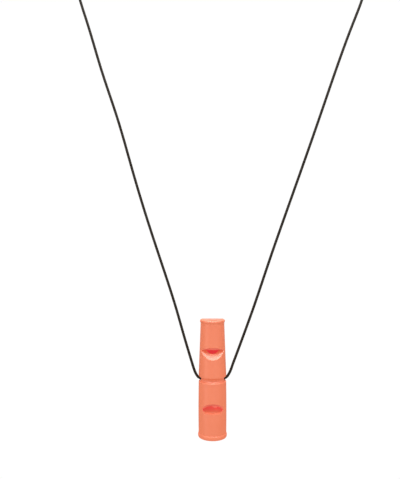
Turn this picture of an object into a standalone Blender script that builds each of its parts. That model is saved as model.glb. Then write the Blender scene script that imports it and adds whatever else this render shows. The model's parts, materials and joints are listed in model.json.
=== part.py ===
"""Two-ended dog whistle on a neck cord, blown plain from the top and with a pea from the bottom.

Metres, +Z up, windows facing -Y. The origin is at the nape, where the wearer's neck carries the cord.
The whistle hangs below it on the cord, which crosses the waist from left to right through the lanyard hole.
"""

import math

import bmesh
import bpy
import numpy as np
from mathutils import Matrix

MM = 0.001

# Fits and turning
CLEARANCE = 0.3 * MM
TURN_STEPS = 72
SIDE_STEPS = 8
BEAD_STEPS = 10
MERGE_DISTANCE = 0.001 * MM
SHARP_ANGLE = math.radians(35.0)

# Neck cord, hung from the nape
CORD_DIAMETER = 2.0 * MM
HANG_HEIGHT = 376.0 * MM
KNOT_LENGTH = 8.0 * MM
KNOT_DIAMETER = 6.4 * MM
CORD_POINT_SPACING = 20.0 * MM
KNOT_STEPS = 20
KNOT_SIDE_STEPS = 8
KNOT_SIDE_SWEEP = math.radians(135.0)

# Waist collar: a disc with a round-lipped groove in its rim and the lanyard hole across it
WAIST_RADIUS = 10.9 * MM
GROOVE_TUBE_RADIUS = 1.75 * MM
GROOVE_DEPTH = 1.7 * MM
GROOVE_STEPS = 12
GROOVE_RIM_RADIUS = 1.0 * MM
GROOVE_RIM_STEPS = 6
COLLAR_LIP = 0.46 * MM
SPIGOT_LENGTH = 5.0 * MM
LANYARD_HOLE_PLAY = 0.4 * MM
LANYARD_MOUTH_CHAMFER = 1.0 * MM

# Upper barrel: tapers up to a flared lip, with a bite cut away behind the mouth
UPPER_REACH = 46.6 * MM
UPPER_NECK_RADIUS = 9.4 * MM
UPPER_BORE_RADIUS = 6.7 * MM
UPPER_WINDWAY_HEIGHT = 2.3 * MM
UPPER_WINDOW_RISE = 23.25 * MM
UPPER_LEDGE_ANGLE = math.radians(23.0)
UPPER_RAMP_ANGLE = math.radians(49.3)
LIP_LENGTH = 2.9 * MM
LIP_PROUD = 0.5 * MM
LIP_EDGE_RADIUS = 1.0 * MM
BITE_DEPTH = 3.4 * MM
BITE_RIDGE_PROUD = 0.8 * MM
BITE_ANGLE = math.radians(28.0)

# Lower barrel: slightly bellied, with a foot bead
LOWER_REACH = 45.9 * MM
LOWER_BELLY_RADIUS = 11.1 * MM
LOWER_NECK_RADIUS = 10.95 * MM
LOWER_BORE_RADIUS = 8.7 * MM
LOWER_WINDWAY_HEIGHT = 1.3 * MM
LOWER_WINDOW_DEPTH = 8.6 * MM
LOWER_WINDOW_DROP = 25.15 * MM
LOWER_WINDOW_WIDTH = 15.8 * MM
LOWER_WINDOW_HEIGHT = 9.0 * MM
LOWER_WINDOW_SILL = 1.25 * MM
LOWER_LEDGE_ANGLE = math.radians(1.0)
LOWER_RAMP_ANGLE = math.radians(42.5)
FOOT_BEAD_LENGTH = 3.2 * MM
FOOT_BEAD_PROUD = 0.45 * MM

# Pea: loose in the lower chamber and too big for the window, at rest behind the window's right half
PEA_DIAMETER = 7.2 * MM
PEA_BEARING = math.radians(60.0)
PEA_SEGMENTS = 24
PEA_RINGS = 14

# Cord routes from the lanyard hole up to the nape, as (x, z) from the hole's centre
LEFT_ROUTE = [
    (-8.6, 0.0), (-10.37, 0.39), (-11.57, 1.23), (-12.04, 1.79), (-13.3, 3.85), (-14.5, 6.7), (-15.6, 10.1),
    (-17.0, 14.7), (-22.7, 33.8), (-28.1, 52.8), (-40.3, 90.9), (-52.8, 129.1), (-64.2, 167.2), (-75.2, 205.3),
    (-87.8, 243.4), (-99.3, 281.6), (-109.5, 320.0), (-108.0, 342.0), (-92.0, 361.0), (-62.0, 372.0),
    (-30.0, 376.0),
]
RIGHT_ROUTE = [
    (8.6, 0.0), (10.37, 0.39), (11.57, 1.23), (12.04, 1.79), (13.3, 3.85), (14.6, 6.7), (15.8, 10.1),
    (17.5, 14.7), (24.6, 33.8), (31.5, 52.8), (44.4, 90.9), (57.7, 129.1), (71.2, 167.2), (84.5, 205.3),
    (97.6, 243.4), (111.6, 281.6), (123.5, 320.0), (121.5, 342.0), (104.0, 361.0), (70.0, 372.0),
    (33.0, 376.0),
]

# Sizes that follow from those above
CORD_RADIUS = CORD_DIAMETER / 2
LANYARD_HOLE_RADIUS = CORD_RADIUS + LANYARD_HOLE_PLAY
LANYARD_MOUTH_RADIUS = LANYARD_HOLE_RADIUS + LANYARD_MOUTH_CHAMFER
GROOVE_FLOOR_RADIUS = WAIST_RADIUS - GROOVE_DEPTH
GROOVE_CENTRE_RADIUS = GROOVE_FLOOR_RADIUS + GROOVE_TUBE_RADIUS
RIM_CENTRE_RADIUS = WAIST_RADIUS - GROOVE_RIM_RADIUS
RIM_OFFSET = GROOVE_CENTRE_RADIUS - RIM_CENTRE_RADIUS
RIM_CENTRE_HEIGHT = math.sqrt((GROOVE_TUBE_RADIUS + GROOVE_RIM_RADIUS) ** 2 - RIM_OFFSET ** 2)
COLLAR_HALF_HEIGHT = RIM_CENTRE_HEIGHT + COLLAR_LIP
BARREL_SEAT = COLLAR_HALF_HEIGHT + CLEARANCE
UPPER_FLAT_DEPTH = UPPER_BORE_RADIUS - UPPER_WINDWAY_HEIGHT
LOWER_FLAT_DEPTH = LOWER_BORE_RADIUS - LOWER_WINDWAY_HEIGHT
CUTTER_REACH = 4 * WAIST_RADIUS
CORD_IN_WAIST_REACH = GROOVE_FLOOR_RADIUS - LANYARD_MOUTH_CHAMFER


def linear(hex_colour):
    """Linear colour of an sRGB hex value such as e87c58."""
    channels = [int(hex_colour[i:i + 2], 16) / 255 for i in (0, 2, 4)]
    return [c / 12.92 if c <= 0.04045 else ((c + 0.055) / 1.055) ** 2.4 for c in channels] + [1.0]


def finish(name, hex_colour, roughness):
    """A plain surface: colour and roughness, no metal."""
    material = bpy.data.materials.new(name)
    material.use_nodes = True
    shader = material.node_tree.nodes["Principled BSDF"]
    shader.inputs["Base Color"].default_value = linear(hex_colour)
    shader.inputs["Roughness"].default_value = roughness
    shader.inputs["Metallic"].default_value = 0.0
    material.diffuse_color = linear(hex_colour)
    return material


def add_object(name, data, parent=None, material=None):
    """Put a mesh or curve in the scene, under its parent."""
    piece = bpy.data.objects.new(name, data)
    bpy.context.collection.objects.link(piece)
    piece.parent = parent
    if material:
        data.materials.append(material)
    return piece


def add_pivot(name, place, parent=None):
    """An empty that marks a joint's axis."""
    pivot = bpy.data.objects.new(name, None)
    bpy.context.collection.objects.link(pivot)
    pivot.location = place
    pivot.parent = parent
    return pivot


def to_mesh(name, shape, is_round=True):
    """A mesh of the shape with its faces pointing out. A round one is smooth, with sharp corners."""
    bmesh.ops.remove_doubles(shape, verts=shape.verts[:], dist=MERGE_DISTANCE)
    bmesh.ops.recalc_face_normals(shape, faces=shape.faces[:])
    mesh = bpy.data.meshes.new(name)
    shape.to_mesh(mesh)
    shape.free()
    if is_round:
        mesh.shade_smooth()
        mesh.set_sharp_from_angle(angle=SHARP_ANGLE)
    return mesh


def turned(name, outline, steps=TURN_STEPS):
    """Turn an outline of (radius, height) about Z. One that keeps off the axis is closed into a ring."""
    shape = bmesh.new()
    points = [shape.verts.new((radius, 0.0, height)) for radius, height in outline]
    edges = [shape.edges.new(pair) for pair in zip(points, points[1:])]
    if outline[0][0] > 0.0:
        edges.append(shape.edges.new((points[-1], points[0])))
    bmesh.ops.spin(shape, geom=points + edges, axis=(0, 0, 1), cent=(0, 0, 0), angle=math.tau,
                   steps=steps, use_merge=True)
    return to_mesh(name, shape)


def prism(name, outline, half_width):
    """Extrude an outline of (y, z) along X, to both sides of the middle."""
    shape = bmesh.new()
    face = shape.faces.new([shape.verts.new((-half_width, y, z)) for y, z in outline])
    grown = bmesh.ops.extrude_face_region(shape, geom=[face])["geom"]
    far_side = [item for item in grown if isinstance(item, bmesh.types.BMVert)]
    bmesh.ops.translate(shape, verts=far_side, vec=(2 * half_width, 0.0, 0.0))
    return to_mesh(name, shape, is_round=False)


def add_cutter(name, mesh, parent):
    """A shape that is only taken away from others."""
    cutter = add_object(name, mesh, parent)
    cutter.hide_render = True
    cutter.display_type = "WIRE"
    return cutter


def cut(piece, cutter, operation="DIFFERENCE"):
    """Take the cutter out of the piece, or with INTERSECT keep only what lies inside the cutter."""
    step = piece.modifiers.new(cutter.name, "BOOLEAN")
    step.operation = operation
    step.solver = "EXACT"
    step.object = cutter


def bead(start, end, radius, proud):
    """Half-round bead along a turned outline, from one height to the other."""
    middle = (start + end) / 2
    half = (end - start) / 2
    angles = [math.pi * (i / BEAD_STEPS - 0.5) for i in range(BEAD_STEPS + 1)]
    return [(radius + proud * math.cos(a), middle + half * math.sin(a)) for a in angles]


def flared_lip(start, end, radius, proud, edge_radius):
    """Outline that swells out of a taper to a crest and turns in over a rounded edge."""
    crest = end - edge_radius
    swell = [math.pi * i / BEAD_STEPS for i in range(BEAD_STEPS)]
    turn = [math.pi / 2 * i / BEAD_STEPS for i in range(BEAD_STEPS + 1)]
    flare = [(radius + proud * (1 - math.cos(a)) / 2, start + (crest - start) * a / math.pi) for a in swell]
    edge_centre = radius + proud - edge_radius
    return flare + [(edge_centre + edge_radius * math.cos(a), crest + edge_radius * math.sin(a)) for a in turn]


def swept(heights, radii):
    """Outline on the line or parabola through the radii at their heights, without its last point."""
    bend = np.polyfit(heights, radii, len(radii) - 1)
    spots = [heights[0] + (heights[-1] - heights[0]) * i / SIDE_STEPS for i in range(SIDE_STEPS)]
    return [(float(np.polyval(bend, z)), z) for z in spots]


def window_outline(depth, apex, ledge_angle, ramp_angle, mouth_side):
    """Wedge of a window: a ledge towards the mouth and a ramp away from it, meeting in a line inside."""
    out = CUTTER_REACH - depth
    return [
        (-depth, apex),
        (-CUTTER_REACH, apex + mouth_side * out * math.tan(ledge_angle)),
        (-CUTTER_REACH, apex - mouth_side * out * math.tan(ramp_angle)),
    ]


def plug_mesh(name, radius, flat_depth, low, high):
    """A round block with a flat along its front, which is the windway's floor."""
    shape = bmesh.new()
    edge = math.acos(flat_depth / radius)
    sweep = [edge + (math.tau - 2 * edge) * i / TURN_STEPS for i in range(TURN_STEPS + 1)]
    rim = [shape.verts.new((radius * math.sin(a), -radius * math.cos(a), low)) for a in sweep]
    face = shape.faces.new(rim)
    grown = bmesh.ops.extrude_face_region(shape, geom=[face])["geom"]
    top = [item for item in grown if isinstance(item, bmesh.types.BMVert)]
    bmesh.ops.translate(shape, verts=top, vec=(0.0, 0.0, high - low))
    return to_mesh(name, shape)


def smooth_route(stops):
    """Points along the natural cubic spline through the stops."""
    stops = np.array(stops)
    gaps = np.linalg.norm(np.diff(stops, axis=0), axis=1)
    slopes = np.diff(stops, axis=0) / gaps[:, None]
    system = np.eye(len(stops))
    bends = np.zeros_like(stops)
    for i in range(1, len(stops) - 1):
        system[i, i - 1:i + 2] = gaps[i - 1], 2 * (gaps[i - 1] + gaps[i]), gaps[i]
        bends[i] = 6 * (slopes[i] - slopes[i - 1])
    bends = np.linalg.solve(system, bends)
    points = []
    for i, gap in enumerate(gaps):
        pieces = math.ceil(gap / CORD_POINT_SPACING)
        for done in np.arange(pieces) / pieces * gap:
            left = gap - done
            curve = (bends[i] * left ** 3 + bends[i + 1] * done ** 3) / (6 * gap)
            start = (stops[i] / gap - bends[i] * gap / 6) * left
            end = (stops[i + 1] / gap - bends[i + 1] * gap / 6) * done
            points.append(curve + start + end)
    return points + [stops[-1]]


def cord_tube(name, points, material):
    """A round cord along (x, z) points, with its ends closed."""
    curve = bpy.data.curves.new(name, "CURVE")
    curve.dimensions = "3D"
    curve.bevel_depth = CORD_RADIUS
    curve.bevel_resolution = 2
    curve.use_fill_caps = True
    spline = curve.splines.new("POLY")
    spline.points.add(len(points) - 1)
    for spot, (x, z) in zip(spline.points, points):
        spot.co = (x, 0.0, z, 1.0)
    spline.use_smooth = True
    return add_object(name, curve, None, material)


for leftover in list(bpy.data.objects):
    bpy.data.objects.remove(leftover)

cord_finish = finish("cord_brown_black", "403932", 0.85)
lanyard_hole = add_pivot("lanyard_hole", (0.0, 0.0, -HANG_HEIGHT))

# Neck cord: two free strands, the stretch inside the waist, and the knot at the nape
for side, name, route in ((-1, "cord_left", LEFT_ROUTE), (1, "cord_right", RIGHT_ROUTE)):
    stops = [(side * (CORD_IN_WAIST_REACH + CLEARANCE), -HANG_HEIGHT)]
    stops += [(x * MM, z * MM - HANG_HEIGHT) for x, z in route]
    stops.append((side * (KNOT_LENGTH / 2 + CLEARANCE), 0.0))
    cord_tube(name, smooth_route(stops), cord_finish)
waist_ends = [(-CORD_IN_WAIST_REACH, -HANG_HEIGHT), (CORD_IN_WAIST_REACH, -HANG_HEIGHT)]
cord_tube("cord_in_waist", waist_ends, cord_finish)

knot_sweep = [KNOT_SIDE_SWEEP * (i / KNOT_SIDE_STEPS - 0.5) for i in range(KNOT_SIDE_STEPS + 1)]
knot_stretch = KNOT_LENGTH / 2 / math.sin(KNOT_SIDE_SWEEP / 2)
knot_side = [(KNOT_DIAMETER / 2 * math.cos(a), knot_stretch * math.sin(a)) for a in knot_sweep]
knot_outline = [(0.0, -KNOT_LENGTH / 2), *knot_side, (0.0, KNOT_LENGTH / 2)]
knot_mesh = turned("cord_knot", knot_outline, KNOT_STEPS)
knot_mesh.transform(Matrix.Rotation(math.radians(90.0), 4, "Y"))
add_object("cord_knot", knot_mesh, None, cord_finish)

# Waist collar: a spigot into each barrel, the round groove, and the lanyard hole along X
groove_edge = math.atan2(RIM_CENTRE_HEIGHT, RIM_OFFSET)
groove_sweep = [groove_edge * (1 - 2 * i / GROOVE_STEPS) for i in range(GROOVE_STEPS + 1)]
groove = [(GROOVE_CENTRE_RADIUS - GROOVE_TUBE_RADIUS * math.cos(a), GROOVE_TUBE_RADIUS * math.sin(a))
          for a in groove_sweep]
rim_sweep = [groove_edge * i / GROOVE_RIM_STEPS for i in range(GROOVE_RIM_STEPS)]
rim_turn = [(GROOVE_RIM_RADIUS * math.cos(a), GROOVE_RIM_RADIUS * math.sin(a)) for a in rim_sweep]
upper_rim = [(RIM_CENTRE_RADIUS + out, RIM_CENTRE_HEIGHT - down) for out, down in rim_turn]
lower_rim = [(radius, -height) for radius, height in reversed(upper_rim)]
spigot_end = COLLAR_HALF_HEIGHT + SPIGOT_LENGTH
upper_spigot_radius = UPPER_BORE_RADIUS - CLEARANCE
lower_spigot_radius = LOWER_BORE_RADIUS - CLEARANCE
collar_outline = [
    (0.0, spigot_end), (upper_spigot_radius, spigot_end), (upper_spigot_radius, COLLAR_HALF_HEIGHT),
    (WAIST_RADIUS, COLLAR_HALF_HEIGHT), *upper_rim, *groove, *lower_rim, (WAIST_RADIUS, -COLLAR_HALF_HEIGHT),
    (lower_spigot_radius, -COLLAR_HALF_HEIGHT), (lower_spigot_radius, -spigot_end), (0.0, -spigot_end),
]
waist_collar = add_object("waist_collar", turned("waist_collar", collar_outline), lanyard_hole,
                          finish("collar_coral", "f08a67", 0.35))
hole_half = [(LANYARD_MOUTH_RADIUS, CUTTER_REACH), (LANYARD_MOUTH_RADIUS, GROOVE_FLOOR_RADIUS),
             (LANYARD_HOLE_RADIUS, GROOVE_FLOOR_RADIUS - LANYARD_MOUTH_CHAMFER)]
hole_other_half = [(radius, -reach) for radius, reach in reversed(hole_half)]
hole_outline = [(0.0, CUTTER_REACH), *hole_half, *hole_other_half, (0.0, -CUTTER_REACH)]
hole_mesh = turned("lanyard_hole_cutter", hole_outline)
hole_mesh.transform(Matrix.Rotation(math.radians(90.0), 4, "Y"))
cut(waist_collar, add_cutter("lanyard_hole_cutter", hole_mesh, lanyard_hole))

# Upper barrel: taper, flared lip, bore, window, and the bite cut away behind the mouth
upper_neck = UPPER_REACH - LIP_LENGTH
upper_outline = [
    (UPPER_BORE_RADIUS, BARREL_SEAT),
    *swept((BARREL_SEAT, upper_neck), (WAIST_RADIUS, UPPER_NECK_RADIUS)),
    *flared_lip(upper_neck, UPPER_REACH, UPPER_NECK_RADIUS, LIP_PROUD, LIP_EDGE_RADIUS),
    (UPPER_BORE_RADIUS, UPPER_REACH),
]
upper_barrel = add_object("upper_barrel", turned("upper_barrel", upper_outline), lanyard_hole,
                          finish("upper_coral", "f08a67", 0.35))
upper_wedge = window_outline(UPPER_FLAT_DEPTH, UPPER_WINDOW_RISE, UPPER_LEDGE_ANGLE, UPPER_RAMP_ANGLE, 1)
upper_window = add_cutter("upper_window", prism("upper_window", upper_wedge, CUTTER_REACH), lanyard_hole)
cut(upper_barrel, upper_window)

bite_ridge = BITE_DEPTH + BITE_RIDGE_PROUD
bite_slope_end = upper_neck - (CUTTER_REACH - BITE_DEPTH) / math.tan(BITE_ANGLE)
bite_outline = [
    (bite_ridge, UPPER_REACH + CUTTER_REACH), (bite_ridge, upper_neck + BITE_RIDGE_PROUD),
    (BITE_DEPTH, upper_neck), (CUTTER_REACH, bite_slope_end), (CUTTER_REACH, UPPER_REACH + CUTTER_REACH),
]
bite = add_cutter("bite", prism("bite", bite_outline, CUTTER_REACH), lanyard_hole)
cut(upper_barrel, bite)

upper_plug_mesh = plug_mesh("upper_windway_plug", UPPER_BORE_RADIUS - CLEARANCE, UPPER_FLAT_DEPTH,
                            UPPER_WINDOW_RISE, UPPER_REACH)
upper_plug = add_object("upper_windway_plug", upper_plug_mesh, lanyard_hole,
                        finish("upper_plug_coral", "e8805f", 0.4))
cut(upper_plug, bite)

# Lower barrel: belly, foot bead, wider bore, and an oval window that reaches deep over a level ledge
lower_neck = LOWER_REACH - FOOT_BEAD_LENGTH
belly_heights = (-BARREL_SEAT, -(BARREL_SEAT + lower_neck) / 2, -lower_neck)
lower_outline = [
    (LOWER_BORE_RADIUS, -BARREL_SEAT),
    *swept(belly_heights, (WAIST_RADIUS, LOWER_BELLY_RADIUS, LOWER_NECK_RADIUS)),
    *bead(-lower_neck, -LOWER_REACH, LOWER_NECK_RADIUS, FOOT_BEAD_PROUD), (LOWER_BORE_RADIUS, -LOWER_REACH),
]
lower_barrel = add_object("lower_barrel", turned("lower_barrel", lower_outline), lanyard_hole,
                          finish("lower_coral", "f08a67", 0.35))
lower_apex_depth = LOWER_BELLY_RADIUS - LOWER_WINDOW_DEPTH
lower_wedge = window_outline(lower_apex_depth, -LOWER_WINDOW_DROP, LOWER_LEDGE_ANGLE, LOWER_RAMP_ANGLE, -1)
lower_window = add_cutter("lower_window", prism("lower_window", lower_wedge, CUTTER_REACH), lanyard_hole)
oval_radius = LOWER_WINDOW_WIDTH / 2
oval_outline = [(0.0, 0.0), (oval_radius, 0.0), (oval_radius, CUTTER_REACH), (0.0, CUTTER_REACH)]
oval_mesh = turned("lower_window_oval", oval_outline)
oval_middle = Matrix.Translation((0.0, 0.0, LOWER_WINDOW_HEIGHT / 2 - LOWER_WINDOW_SILL - LOWER_WINDOW_DROP))
oval_squash = Matrix.Diagonal((1.0, 1.0, LOWER_WINDOW_HEIGHT / LOWER_WINDOW_WIDTH, 1.0))
oval_mesh.transform(oval_middle @ oval_squash @ Matrix.Rotation(math.radians(90.0), 4, "X"))
cut(lower_window, add_cutter("lower_window_oval", oval_mesh, lanyard_hole), "INTERSECT")
cut(lower_barrel, lower_window)

lower_plug_mesh = plug_mesh("lower_windway_plug", LOWER_BORE_RADIUS - CLEARANCE, LOWER_FLAT_DEPTH,
                            -LOWER_REACH, -LOWER_WINDOW_DROP)
add_object("lower_windway_plug", lower_plug_mesh, lanyard_hole, finish("lower_plug_coral", "e8805f", 0.4))

# Pea: stands on the lower plug, against the chamber's wall, and whirls about the chamber's axis
pea_radius = PEA_DIAMETER / 2
pea_orbit = LOWER_BORE_RADIUS - CLEARANCE - pea_radius
chamber_axis = add_pivot("chamber_axis", (0.0, 0.0, -LOWER_WINDOW_DROP + CLEARANCE + pea_radius), lanyard_hole)
pea_shape = bmesh.new()
bmesh.ops.create_uvsphere(pea_shape, u_segments=PEA_SEGMENTS, v_segments=PEA_RINGS, radius=pea_radius)
pea_place = (pea_orbit * math.cos(PEA_BEARING), pea_orbit * math.sin(PEA_BEARING), 0.0)
bmesh.ops.translate(pea_shape, verts=pea_shape.verts[:], vec=pea_place)
add_object("pea", to_mesh("pea", pea_shape), chamber_axis, finish("pea_red", "d8573f", 0.5))
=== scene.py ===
"""Finish of a two-ended dog whistle on its neck cord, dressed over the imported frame. Metres, +Z up."""
import json
import math

import bmesh
import bpy
import numpy as np
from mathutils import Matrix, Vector


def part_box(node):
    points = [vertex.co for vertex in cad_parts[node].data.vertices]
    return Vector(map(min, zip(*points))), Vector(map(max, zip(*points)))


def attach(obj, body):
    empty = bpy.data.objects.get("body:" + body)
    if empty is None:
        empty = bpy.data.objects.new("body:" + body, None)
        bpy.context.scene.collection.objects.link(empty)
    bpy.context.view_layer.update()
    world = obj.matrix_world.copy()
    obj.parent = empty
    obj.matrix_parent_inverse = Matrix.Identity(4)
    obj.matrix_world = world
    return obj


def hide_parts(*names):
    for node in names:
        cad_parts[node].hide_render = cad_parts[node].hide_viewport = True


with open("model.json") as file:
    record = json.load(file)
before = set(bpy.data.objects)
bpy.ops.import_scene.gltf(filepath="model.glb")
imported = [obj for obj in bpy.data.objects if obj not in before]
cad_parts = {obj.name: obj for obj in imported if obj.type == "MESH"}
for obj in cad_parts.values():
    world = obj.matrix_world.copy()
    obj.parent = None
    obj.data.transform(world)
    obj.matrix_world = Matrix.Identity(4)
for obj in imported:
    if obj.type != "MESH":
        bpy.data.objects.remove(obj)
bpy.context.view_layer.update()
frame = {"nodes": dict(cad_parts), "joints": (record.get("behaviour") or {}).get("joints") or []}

# The camera stands level, a forearm in front of the hanging cord and a hand above the whistle's waist.
# Its place follows from the photograph's focal length and from where the lanyard hole lies in it, in pixels.
MM = 0.001
FRAME_WIDTH_PX = 400
FRAME_HEIGHT_PX = 479
FOCAL_PX = 510
HOLE_PX = (212.45, 378.0)
CAMERA_DISTANCE = 405 * MM
SENSOR = 36.0
hole = Vector(frame["joints"][0]["pos_m"])
metres_per_px = CAMERA_DISTANCE / FOCAL_PX
camera = bpy.data.objects.new("camera", bpy.data.cameras.new("camera"))
bpy.context.scene.collection.objects.link(camera)
camera.data.sensor_width = SENSOR
camera.data.lens = SENSOR * FOCAL_PX / FRAME_HEIGHT_PX
camera.data.clip_start = 10 * MM
camera.location = hole + Vector((
    (FRAME_WIDTH_PX / 2 - HOLE_PX[0]) * metres_per_px,
    -CAMERA_DISTANCE,
    (HOLE_PX[1] - FRAME_HEIGHT_PX / 2) * metres_per_px,
))
camera.rotation_euler = (math.radians(90), 0, 0)
bpy.context.scene.camera = camera

# Neck cord: one length of 2 mm dark brown polyester cord, braided from eight yarns over a soft core.
# It is threaded through the lanyard hole, rises in two slightly wavy strands and is tied at the nape.
CORD_DIAMETER = 2.0 * MM
CORD_SIDES = 24
CORD_STEP = 0.36 * MM
SPLINE_STEPS = 60
BRAID_YARNS_EACH_WAY = 4
BRAID_TURN = 8.4 * MM
BRAID_RELIEF = 0.09 * MM
# Each strand's route from the lanyard hole to the nape, as (x, z) in millimetres from the hole's centre.
LEFT_ROUTE = [
    (-8.6, 0.0), (-10.37, 0.39), (-11.57, 1.23), (-12.04, 1.79), (-13.3, 3.85), (-14.5, 6.7), (-15.6, 10.1),
    (-17.0, 14.7), (-22.7, 33.8), (-28.1, 52.8), (-40.3, 90.9), (-52.8, 129.1), (-64.2, 167.2),
    (-75.2, 205.3), (-87.8, 243.4), (-99.3, 281.6), (-109.5, 320.0), (-108.0, 342.0), (-92.0, 361.0),
    (-62.0, 372.0), (-30.0, 376.0),
]
RIGHT_ROUTE = [
    (8.6, 0.0), (10.37, 0.39), (11.57, 1.23), (12.04, 1.79), (13.3, 3.85), (14.6, 6.7), (15.8, 10.1),
    (17.5, 14.7), (24.6, 33.8), (31.5, 52.8), (44.4, 90.9), (57.7, 129.1), (71.2, 167.2),
    (84.5, 205.3), (97.6, 243.4), (111.6, 281.6), (123.5, 320.0), (121.5, 342.0), (104.0, 361.0),
    (70.0, 372.0), (33.0, 376.0),
]


def smooth_path(stops, step):
    """Evenly spaced points on the natural cubic spline through the stops."""
    stops = np.array(stops, dtype=float)
    gaps = np.linalg.norm(np.diff(stops, axis=0), axis=1)
    slopes = np.diff(stops, axis=0) / gaps[:, None]
    system = np.eye(len(stops))
    bends = np.zeros_like(stops)
    for i in range(1, len(stops) - 1):
        system[i, i - 1:i + 2] = gaps[i - 1], 2 * (gaps[i - 1] + gaps[i]), gaps[i]
        bends[i] = 6 * (slopes[i] - slopes[i - 1])
    bends = np.linalg.solve(system, bends)
    fine = []
    for i, gap in enumerate(gaps):
        done = np.linspace(0, gap, SPLINE_STEPS, endpoint=False)[:, None]
        left = gap - done
        curve = (bends[i] * left ** 3 + bends[i + 1] * done ** 3) / (6 * gap)
        start = (stops[i] / gap - bends[i] * gap / 6) * left
        end = (stops[i + 1] / gap - bends[i + 1] * gap / 6) * done
        fine.append(curve + start + end)
    fine = np.vstack(fine + [stops[-1:]])
    run = np.concatenate(([0.0], np.cumsum(np.linalg.norm(np.diff(fine, axis=0), axis=1))))
    marks = np.linspace(0, run[-1], max(2, round(run[-1] / step)) + 1)
    return np.column_stack([np.interp(marks, run, fine[:, axis]) for axis in range(3)])


def braid_height(along, around):
    """Height of the braid, 0 in its grooves to 1 on its crowns. Along is in metres, around in turns."""
    one_way = BRAID_YARNS_EACH_WAY * (around + along / BRAID_TURN)
    other_way = BRAID_YARNS_EACH_WAY * (around - along / BRAID_TURN)
    return np.sqrt(np.abs(np.sin(math.pi * one_way) * np.sin(math.pi * other_way)))


def braided_tube(name, path):
    """A braided cord along the path, with the braid's height kept as an attribute for the painted shade in
    its grooves.
    """
    curve = bpy.data.curves.new(name, "CURVE")
    curve.dimensions = "3D"
    curve.bevel_depth = CORD_DIAMETER / 2
    curve.bevel_resolution = CORD_SIDES // 2 - 2
    spline = curve.splines.new("POLY")
    spline.points.add(len(path) - 1)
    for spot, place in zip(spline.points, path):
        spot.co = (*place, 1.0)
    plain = bpy.data.objects.new(name + "_line", curve)
    bpy.context.scene.collection.objects.link(plain)
    mesh = bpy.data.meshes.new_from_object(plain.evaluated_get(bpy.context.evaluated_depsgraph_get()))
    bpy.data.objects.remove(plain)
    spots = np.array([v.co for v in mesh.vertices])
    ring = np.arange(len(spots)) // CORD_SIDES
    around = (np.arange(len(spots)) % CORD_SIDES) / CORD_SIDES
    height = braid_height(ring * CORD_STEP, around)
    centres = np.array(path)[ring]
    outward = (spots - centres) / (CORD_DIAMETER / 2)
    spots = spots + outward * (height * BRAID_RELIEF)[:, None]
    mesh.vertices.foreach_set("co", spots.ravel())
    mesh.attributes.new("braid", "FLOAT", "POINT").data.foreach_set("value", height)
    shape = bmesh.new()
    shape.from_mesh(mesh)
    bmesh.ops.holes_fill(shape, edges=shape.edges[:], sides=CORD_SIDES)
    shape.to_mesh(mesh)
    shape.free()
    mesh.shade_smooth()
    piece = bpy.data.objects.new(name, mesh)
    bpy.context.scene.collection.objects.link(piece)
    return piece


def linear(hex_colour):
    """Linear colour of an sRGB hex value."""
    channels = [int(hex_colour[i:i + 2], 16) / 255 for i in (0, 2, 4)]
    return [c / 12.92 if c <= 0.04045 else ((c + 0.055) / 1.055) ** 2.4 for c in channels] + [1.0]


def add_node(material, kind, settings=None, links=None):
    """Add a node, set its sockets and properties by name, and link other nodes' outputs to its inputs."""
    node = material.node_tree.nodes.new(kind)
    for key, value in (settings or {}).items():
        if key in node.inputs:
            node.inputs[key].default_value = value
        else:
            setattr(node, key, value)
    for key, output in (links or {}).items():
        material.node_tree.links.new(output, node.inputs[key])
    return node


def new_material(name):
    """An empty node material with its output and Principled shader, already joined."""
    material = bpy.data.materials.new(name)
    material.use_nodes = True
    return material, material.node_tree.nodes["Principled BSDF"]


# Polyester braid: dull, fuzzy dark brown yarn with faint lighter filaments, and painted shade that darkens
# its grooves.
# Filaments are about 0.02 mm, too fine to show, so their streaks are drawn 0.15 mm wide.
braid, braid_shader = new_material("braided_polyester_dark_brown")
braid_level = add_node(braid, "ShaderNodeAttribute", {"attribute_name": "braid"})
braid_place = add_node(braid, "ShaderNodeTexCoord")
filaments = add_node(braid, "ShaderNodeTexNoise", {"Scale": 1 / (0.15 * MM), "Detail": 3.0},
                     {"Vector": braid_place.outputs["Object"]})
# Painted shade: the yarn is darker where the braid's height is low, down in its grooves.
yarn_and_groove_shade = add_node(braid, "ShaderNodeMixRGB", {"Color1": linear("1a1511"), "Color2": linear("39322a")},
                {"Fac": braid_level.outputs["Fac"]})
faded = add_node(braid, "ShaderNodeMixRGB", {"blend_type": "SOFT_LIGHT", "Fac": 0.5},
                 {"Color1": yarn_and_groove_shade.outputs["Color"], "Color2": filaments.outputs["Fac"]})
braid.node_tree.links.new(faded.outputs["Color"], braid_shader.inputs["Base Color"])
braid_bump = add_node(braid, "ShaderNodeBump", {"Strength": 0.35, "Distance": 0.05 * MM},
                      {"Height": filaments.outputs["Fac"]})
braid.node_tree.links.new(braid_bump.outputs["Normal"], braid_shader.inputs["Normal"])
braid_shader.inputs["Roughness"].default_value = 0.8
braid_shader.inputs["Specular IOR Level"].default_value = 0.05

# The tube's two ends meet unseen in the middle of the lanyard hole.
hole_left = [(-0.05, 0.0), (-4.0, 0.0)]
hole_right = [(4.0, 0.0), (0.05, 0.0)]
nape_stops = [(-4.3, 376.0), (4.3, 376.0)]
loop_stops = hole_left + LEFT_ROUTE + nape_stops + RIGHT_ROUTE[::-1] + hole_right
cord_path = smooth_path([(x * MM, 0.0, z * MM + hole.z) for x, z in loop_stops], CORD_STEP)
neck_cord = braided_tube("neck_cord", cord_path)
neck_cord.data.materials.append(braid)
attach(neck_cord, "lanyard")
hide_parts("cord_left", "cord_right", "cord_in_waist")

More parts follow.
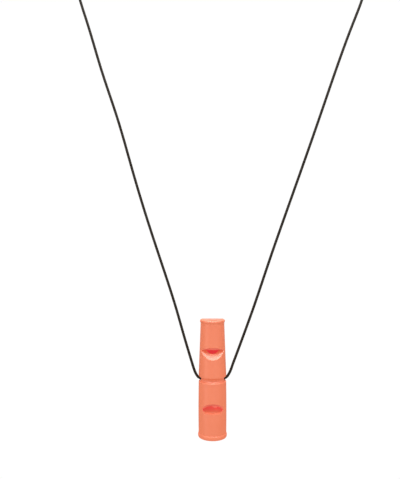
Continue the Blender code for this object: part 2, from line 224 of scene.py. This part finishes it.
# Nape knot: the cord's two ends wrapped about each other and pulled tight, with a short tail on each side.
# It is the same braid, so it takes the cord's own tube and finish.
KNOT_TURNS = 3
KNOT_WRAP_RADIUS = 2.06 * MM
KNOT_HALF_LENGTH = 3.2 * MM
KNOT_STEPS_PER_TURN = 12
LONG_TAIL = [(4.2, 1.9, 1.7), (5.4, 2.0, 3.6), (7.3, 2.4, 5.6), (9.2, 3.0, 7.4)]
SHORT_TAIL = [(-2.4, -0.9, 0.7), (-4.6, -1.9, 1.7), (-6.4, -2.6, 3.4), (-8.0, -3.0, 5.4)]
wraps = []
for i in range(KNOT_STEPS_PER_TURN * KNOT_TURNS + 1):
    turn = math.tau * i / KNOT_STEPS_PER_TURN
    along = KNOT_HALF_LENGTH * (2 * i / (KNOT_STEPS_PER_TURN * KNOT_TURNS) - 1)
    wraps.append((along, KNOT_WRAP_RADIUS * math.cos(turn), KNOT_WRAP_RADIUS * math.sin(turn)))
long_path = smooth_path(wraps + [tuple(c * MM for c in stop) for stop in LONG_TAIL], CORD_STEP)
short_path = smooth_path([tuple(c * MM for c in stop) for stop in SHORT_TAIL], CORD_STEP)
nape_knot = braided_tube("nape_knot", long_path)
short_tail = braided_tube("nape_knot_tail", short_path)
for piece in (nape_knot, short_tail):
    piece.data.materials.append(braid)
    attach(piece, "lanyard")
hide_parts("cord_knot")

# Whistle body: two barrels pressed onto a waist collar, all three injection-moulded in the same coral ABS.
# Every edge that a finger meets is softened. At the press fits the edges stay sharp and meet in a hairline.
MERGE_DISTANCE = 0.002 * MM
FLAT_ANGLE = math.radians(0.2)
EDGE_ANGLE = math.radians(35)
EDGE_STEPS = 5
BODY_EDGE = 0.2 * MM
MOUTH_EDGE = 0.12 * MM
PRESS_FIT = 0.28 * MM
AT_SEAT = 0.05 * MM


def joined_copy(node):
    """A copy of a CAD node with its triangles joined to whole flat faces."""
    shape = bmesh.new()
    shape.from_mesh(frame["nodes"][node].data)
    bmesh.ops.remove_doubles(shape, verts=shape.verts[:], dist=MERGE_DISTANCE)
    bmesh.ops.dissolve_limit(shape, angle_limit=FLAT_ANGLE, verts=shape.verts[:], edges=shape.edges[:],
                             use_dissolve_boundaries=False)
    return shape


def sharp_edges(shape):
    """The edges that a finger would feel."""
    return [edge for edge in shape.edges if edge.is_manifold and edge.calc_face_angle() > EDGE_ANGLE]


def round_off(shape, edges, radius):
    """Round the edges off."""
    bmesh.ops.bevel(shape, geom=edges, offset=radius, affect="EDGES", segments=EDGE_STEPS, profile=0.5,
                    material=-1, clamp_overlap=True)


def add_piece(name, shape, *materials):
    """Put a smooth piece in the scene. Its flat faces are shaded flat and its unrounded edges sharp."""
    for face in shape.faces:
        face.smooth = True
    for edge in sharp_edges(shape):
        edge.smooth = False
    mesh = bpy.data.meshes.new(name)
    shape.to_mesh(mesh)
    shape.free()
    for material in materials:
        mesh.materials.append(material)
    piece = bpy.data.objects.new(name, mesh)
    bpy.context.scene.collection.objects.link(piece)
    piece.modifiers.new("even_shading", "WEIGHTED_NORMAL").keep_sharp = True
    return piece


# Moulded ABS, satin: an even coral with a broad soft sheen, faintly mottled where the melt flowed.
# The mould's spark grain is too fine to show, so it is drawn 0.5 mm wide.
coral, coral_shader = new_material("moulded_abs_satin_coral")
coral_place = add_node(coral, "ShaderNodeTexCoord")
flow = add_node(coral, "ShaderNodeTexNoise", {"Scale": 1 / (9 * MM), "Detail": 3.0, "Roughness": 0.55},
                {"Vector": coral_place.outputs["Object"]})
grain = add_node(coral, "ShaderNodeTexNoise", {"Scale": 1 / (0.5 * MM), "Detail": 2.0},
                 {"Vector": coral_place.outputs["Object"]})
coral_colour = add_node(coral, "ShaderNodeMixRGB", {"Color1": linear("f37f57"), "Color2": linear("f6835b")},
                        {"Fac": flow.outputs["Fac"]})
coral.node_tree.links.new(coral_colour.outputs["Color"], coral_shader.inputs["Base Color"])
coral_gloss = add_node(coral, "ShaderNodeMapRange", {"To Min": 0.4, "To Max": 0.48},
                       {"Value": grain.outputs["Fac"]})
coral.node_tree.links.new(coral_gloss.outputs["Result"], coral_shader.inputs["Roughness"])
coral_bump = add_node(coral, "ShaderNodeBump", {"Strength": 0.05, "Distance": 0.03 * MM},
                      {"Height": grain.outputs["Fac"]})
coral.node_tree.links.new(coral_bump.outputs["Normal"], coral_shader.inputs["Normal"])
coral_shader.inputs["IOR"].default_value = 1.53
coral_shader.inputs["Specular IOR Level"].default_value = 0.3

# Moulded ABS, dull: inside the bores the mould's core leaves the same plastic without a sheen.
# Its deeper red is painted shade, and its emission paints the glow of light that comes through the walls and
# goes from side to side.
bore, bore_shader = new_material("moulded_abs_dull_bore_painted_shade_and_glow")
bore_place = add_node(bore, "ShaderNodeTexCoord")
bore_streak = add_node(bore, "ShaderNodeTexNoise", {"Scale": 1 / (2.5 * MM), "Detail": 3.0},
                       {"Vector": bore_place.outputs["Object"]})
bore_painted_shade_colour = add_node(bore, "ShaderNodeMixRGB", {"Color1": linear("ea5a50"), "Color2": linear("ee6459")},
                       {"Fac": bore_streak.outputs["Fac"]})
bore.node_tree.links.new(bore_painted_shade_colour.outputs["Color"], bore_shader.inputs["Base Color"])
bore_bump = add_node(bore, "ShaderNodeBump", {"Strength": 0.2, "Distance": 0.05 * MM},
                     {"Height": bore_streak.outputs["Fac"]})
bore.node_tree.links.new(bore_bump.outputs["Normal"], bore_shader.inputs["Normal"])
bore_shader.inputs["Roughness"].default_value = 0.5
bore_shader.inputs["IOR"].default_value = 1.53
# Painted glow: the bore gives off a faint red light of its own.
bore_shader.inputs["Emission Color"].default_value = linear("ff6472")
bore_shader.inputs["Emission Strength"].default_value = 0.2

# Moulded ABS, cut: the shaded cut over each window, with painted shade making it red in its middle like the
# bore.
# Towards its ends the wall thins out, and a coral colour and a stronger emission paint the light that comes
# through.
cut_paint, cut_paint_shader = new_material("moulded_abs_cut_painted_shade_and_glow")
cut_paint_place = add_node(cut_paint, "ShaderNodeTexCoord")
cut_paint_flow = add_node(cut_paint, "ShaderNodeTexNoise", {"Scale": 1 / (4 * MM), "Detail": 3.0},
                    {"Vector": cut_paint_place.outputs["Object"]})
cut_shade_colour = add_node(cut_paint, "ShaderNodeMixRGB", {"Color1": linear("e8654f"), "Color2": linear("ec6b54")},
                      {"Fac": cut_paint_flow.outputs["Fac"]})
cut_paint_shader.inputs["Roughness"].default_value = 0.35
cut_paint_shader.inputs["IOR"].default_value = 1.53
cut_paint_shader.inputs["Emission Color"].default_value = linear("ffd0c2")
cut_paint_side = add_node(cut_paint, "ShaderNodeSeparateXYZ", None, {"Vector": cut_paint_place.outputs["Object"]})
cut_paint_reach = add_node(cut_paint, "ShaderNodeMath", {"operation": "ABSOLUTE"}, {0: cut_paint_side.outputs["X"]})
cut_end_mask = add_node(cut_paint, "ShaderNodeMapRange", {"From Min": 4 * MM, "From Max": 8.5 * MM},
                    {"Value": cut_paint_reach.outputs["Value"]})
# Painted light: towards the cut's ends its colour turns coral.
cut_painted_light = add_node(cut_paint, "ShaderNodeMixRGB", {"Color2": linear("ea8362")},
                      {"Fac": cut_end_mask.outputs["Result"], "Color1": cut_shade_colour.outputs["Color"]})
cut_paint.node_tree.links.new(cut_painted_light.outputs["Color"], cut_paint_shader.inputs["Base Color"])
# Painted glow: the emission grows towards the cut's ends.
cut_painted_glow = add_node(cut_paint, "ShaderNodeMapRange", {"To Min": 0.05, "To Max": 0.13},
                    {"Value": cut_end_mask.outputs["Result"]})
cut_paint.node_tree.links.new(cut_painted_glow.outputs["Result"], cut_paint_shader.inputs["Emission Strength"])

# Moulded ABS, window floor: the plugs' ends and the ledge before the lower one.
# Their redder colour is painted shade, and a faint emission paints a glow, red like the bore's at the back
# and paler towards the light in front.
sill, sill_shader = new_material("moulded_abs_window_floor_painted_glow")
sill_place = add_node(sill, "ShaderNodeTexCoord")
sill_flow = add_node(sill, "ShaderNodeTexNoise", {"Scale": 1 / (3 * MM), "Detail": 3.0},
                     {"Vector": sill_place.outputs["Object"]})
sill_colour = add_node(sill, "ShaderNodeMixRGB", {"Color1": linear("ef755a"), "Color2": linear("f27b5f")},
                       {"Fac": sill_flow.outputs["Fac"]})
sill.node_tree.links.new(sill_colour.outputs["Color"], sill_shader.inputs["Base Color"])
sill_shader.inputs["Roughness"].default_value = 0.4
sill_shader.inputs["IOR"].default_value = 1.53
sill_shader.inputs["Specular IOR Level"].default_value = 0.3
sill_side = add_node(sill, "ShaderNodeSeparateXYZ", None, {"Vector": sill_place.outputs["Object"]})
sill_front = add_node(sill, "ShaderNodeMapRange", {"From Min": 2 * MM, "From Max": -7 * MM},
                      {"Value": sill_side.outputs["Y"]})
# Painted glow: pinker at the back, paler at the front.
sill_painted_glow = add_node(sill, "ShaderNodeMixRGB", {"Color1": linear("ffb4a2"), "Color2": linear("ffe7a2")},
                     {"Fac": sill_front.outputs["Result"]})
sill.node_tree.links.new(sill_painted_glow.outputs["Color"], sill_shader.inputs["Emission Color"])
sill_shader.inputs["Emission Strength"].default_value = 0.13

# A face's finish follows from where it looks: into the bore, down from a cut or up from the ledge; this
# places the painted shade and glow.
INWARD = -0.5
CUT_SLOPE = 0.5
LEDGE_FALL = 0.3 * MM
LEDGE_RISE = 4 * MM
COLLAR_EDGE_MARGIN = 2 * PRESS_FIT
window_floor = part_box("lower_windway_plug")[1].z
upper_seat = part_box("upper_barrel")[0].z
lower_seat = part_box("lower_barrel")[1].z
for node, seat, press in (("upper_barrel", upper_seat, -PRESS_FIT), ("lower_barrel", lower_seat, PRESS_FIT)):
    shape = joined_copy(node)
    felt = [e for e in sharp_edges(shape) if any(abs(v.co.z - seat) > AT_SEAT for v in e.verts)]
    round_off(shape, felt, BODY_EDGE)
    seat_ring = [v for v in shape.verts if abs(v.co.z - seat) < AT_SEAT]
    bmesh.ops.translate(shape, verts=seat_ring, vec=(0, 0, press))
    piece = add_piece(node + "_moulding", shape, coral, bore, cut_paint, sill)
    for face in piece.data.polygons:
        outward = Vector((face.center.x, face.center.y, 0)).normalized()
        if face.normal.dot(outward) < INWARD:
            face.material_index = 1
        elif face.normal.z < -CUT_SLOPE and face.center.z > window_floor:
            face.material_index = 2
        elif face.normal.z > CUT_SLOPE and -LEDGE_FALL < face.center.z - window_floor < LEDGE_RISE:
            face.material_index = 3
    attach(piece, "whistle")
    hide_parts(node)

collar_shape = joined_copy("waist_collar")
groove_low = lower_seat + COLLAR_EDGE_MARGIN
groove_high = upper_seat - COLLAR_EDGE_MARGIN
mouth_edges = [e for e in sharp_edges(collar_shape)
               if all(groove_low < v.co.z < groove_high for v in e.verts)]
round_off(collar_shape, mouth_edges, MOUTH_EDGE)
collar = add_piece("waist_collar_moulding", collar_shape, coral)
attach(collar, "whistle")
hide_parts("waist_collar")

# Windway plugs: solid ABS mouldings pressed into the ends of both bores, each with a flat for the windway.
# Only their end faces and the edges of the flats show, in the windows and at the mouths.
PLUG_EDGE = 0.15 * MM
for node in ("upper_windway_plug", "lower_windway_plug"):
    shape = joined_copy(node)
    swell = 1 + PRESS_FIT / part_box(node)[1].x
    bmesh.ops.scale(shape, vec=(swell, swell, 1), verts=shape.verts[:])
    round_off(shape, sharp_edges(shape), PLUG_EDGE)
    # The plugs take the window floor's finish, with its painted shade and glow.
    piece = add_piece(node + "_moulding", shape, sill)
    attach(piece, "whistle")
    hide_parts(node)

# Pea: a light moulded ball, loose in the lower chamber, which the breath whirls round to break up the note.
# A raised ring is left where the halves of its mould met.
PEA_SEGMENTS = 64
PEA_SEAM_WIDTH = 0.35 * MM
PEA_SEAM_PROUD = 0.08 * MM
pea_low, pea_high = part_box("pea")
pea_centre = (pea_low + pea_high) / 2
pea_radius = (pea_high.z - pea_low.z) / 2 - PEA_SEAM_PROUD
ball = bmesh.new()
bmesh.ops.create_uvsphere(ball, u_segments=PEA_SEGMENTS, v_segments=PEA_SEGMENTS // 2, radius=pea_radius)
seam_swell = 1 + PEA_SEAM_PROUD / pea_radius
seam_ring = [spot for spot in ball.verts if abs(spot.co.z) < PEA_SEAM_WIDTH]
bmesh.ops.scale(ball, vec=(seam_swell, seam_swell, 1), verts=seam_ring)
bmesh.ops.translate(ball, verts=ball.verts[:], vec=pea_centre)
pea_mesh = bpy.data.meshes.new("pea_ball")
ball.to_mesh(pea_mesh)
ball.free()
pea_mesh.shade_smooth()
pea = bpy.data.objects.new("pea_ball", pea_mesh)
bpy.context.scene.collection.objects.link(pea)

# Moulded polypropylene: waxy and paler than the bore, with a faint emission that paints on it the same red
# light from the walls round it.
pea_red, pea_shader = new_material("moulded_polypropylene_red_pea_painted_glow")
pea_place = add_node(pea_red, "ShaderNodeTexCoord")
pea_mottle = add_node(pea_red, "ShaderNodeTexNoise", {"Scale": 1 / (1.5 * MM), "Detail": 4.0},
                      {"Vector": pea_place.outputs["Object"]})
pea_colour = add_node(pea_red, "ShaderNodeMixRGB", {"Color1": linear("f08c72"), "Color2": linear("f4947a")},
                      {"Fac": pea_mottle.outputs["Fac"]})
pea_red.node_tree.links.new(pea_colour.outputs["Color"], pea_shader.inputs["Base Color"])
pea_shader.inputs["Roughness"].default_value = 0.45
# Painted glow: the pea gives off a faint pink light of its own.
pea_shader.inputs["Emission Color"].default_value = linear("ffb09e")
pea_shader.inputs["Emission Strength"].default_value = 0.27
pea.data.materials.append(pea_red)
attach(pea, "pea")
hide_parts("pea")

# Light tent: white all round, brighter behind and brightest at its ceiling, so faces that look up are paler.
# Gloss sees it bright above the horizon and dim below, so the barrels' sides keep their colour to the edge.
TENT_BACK = 1.02
TENT_FRONT = 0.82
TENT_CEILING = 1.2
TENT_GLOSS_ABOVE = 0.7
TENT_GLOSS_BELOW = 0.2
world = bpy.data.worlds.new("light_tent")
world.use_nodes = True
bpy.context.scene.world = world
tent = world.node_tree.nodes["Background"]
tent.inputs["Color"].default_value = (1, 1, 1, 1)
tent_place = add_node(world, "ShaderNodeTexCoord")
tent_side = add_node(world, "ShaderNodeSeparateXYZ", None, {"Vector": tent_place.outputs["Generated"]})
tent_light = add_node(world, "ShaderNodeMapRange", {
    "From Min": -0.7, "From Max": 0.7, "To Min": TENT_FRONT, "To Max": TENT_BACK,
}, {"Value": tent_side.outputs["Y"]})
tent_ceiling = add_node(world, "ShaderNodeMapRange", {
    "From Min": 0.6, "From Max": 0.85, "To Max": TENT_CEILING,
}, {"Value": tent_side.outputs["Z"]})
tent_diffuse = add_node(world, "ShaderNodeMath", {"operation": "ADD"},
                        {0: tent_light.outputs["Result"], 1: tent_ceiling.outputs["Result"]})
tent_gloss = add_node(world, "ShaderNodeMapRange", {
    "From Min": -0.25, "From Max": 0.05, "To Min": TENT_GLOSS_BELOW, "To Max": TENT_GLOSS_ABOVE,
}, {"Value": tent_side.outputs["Z"]})
ray = add_node(world, "ShaderNodeLightPath")
tent_level = add_node(world, "ShaderNodeMapRange", None, {
    "Value": ray.outputs["Is Glossy Ray"],
    "To Min": tent_diffuse.outputs["Value"],
    "To Max": tent_gloss.outputs["Result"],
})
seen = add_node(world, "ShaderNodeMath", {"operation": "MAXIMUM"},
                {0: ray.outputs["Is Camera Ray"], 1: ray.outputs["Is Transmission Ray"]})
tent_strength = add_node(world, "ShaderNodeMath", {"operation": "MAXIMUM"},
                         {0: seen.outputs["Value"], 1: tent_level.outputs["Result"]})
world.node_tree.links.new(tent_strength.outputs["Value"], tent.inputs["Strength"])

# Softboxes: they only put highlights on the gloss. Each has its place from the lanyard hole,
# then its width and height, all in metres, and its radiance.
SOFTBOXES = {
    "front_softbox": ((0.0, -0.62, -0.14), (3.4, 0.34), 2.0),
    "left_strip": ((-0.59, -0.38, -0.10), (0.14, 0.6), 4.0),
    "overhead_softbox": ((0.0, -0.13, 0.55), (0.42, 0.46), 18.0),
    "left_softbox": ((-0.40, -0.22, 0.42), (0.24, 0.24), 14.0),
    "right_softbox": ((0.40, -0.22, 0.42), (0.24, 0.24), 14.0),
    "back_softbox": ((0.0, 0.40, 0.62), (0.8, 0.3), 4.0),
}
for name, (place, (width, height), radiance) in SOFTBOXES.items():
    lamp = bpy.data.lights.new(name, "AREA")
    lamp.shape = "RECTANGLE"
    lamp.size = width
    lamp.size_y = height
    lamp.energy = radiance * math.pi * width * height
    softbox = bpy.data.objects.new(name, lamp)
    bpy.context.scene.collection.objects.link(softbox)
    softbox.location = hole + Vector(place)
    softbox.rotation_euler = (-Vector(place)).to_track_quat("-Z", "Y").to_euler()
    softbox.visible_camera = False
    softbox.visible_diffuse = False
bpy.context.scene.view_settings.view_transform = "Standard"

# Floor: a round sheet of matt white card below the hanging whistle, wide enough to take its shadow.
# It throws no light back, so the whistle is lit by the tent alone.
FLOOR_DROP = 400 * MM
FLOOR_RADIUS = 550 * MM
card_shape = bmesh.new()
bmesh.ops.create_circle(card_shape, cap_ends=True, segments=128, radius=FLOOR_RADIUS)
bmesh.ops.translate(card_shape, verts=card_shape.verts[:], vec=(0, 0, hole.z - FLOOR_DROP))
card_mesh = bpy.data.meshes.new("floor_card")
card_shape.to_mesh(card_mesh)
card_shape.free()
floor = bpy.data.objects.new("floor_card", card_mesh)
bpy.context.scene.collection.objects.link(floor)
card, card_shader = new_material("matt_white_card")
card_place = add_node(card, "ShaderNodeTexCoord")
card_fibre = add_node(card, "ShaderNodeTexNoise", {"Scale": 1 / (3 * MM), "Detail": 4.0},
                      {"Vector": card_place.outputs["Object"]})
card_colour = add_node(card, "ShaderNodeMixRGB", {"Color1": linear("eceae7"), "Color2": linear("f1efec")},
                       {"Fac": card_fibre.outputs["Fac"]})
card.node_tree.links.new(card_colour.outputs["Color"], card_shader.inputs["Base Color"])
card_shader.inputs["Roughness"].default_value = 0.9
floor.data.materials.append(card)
floor.visible_diffuse = False
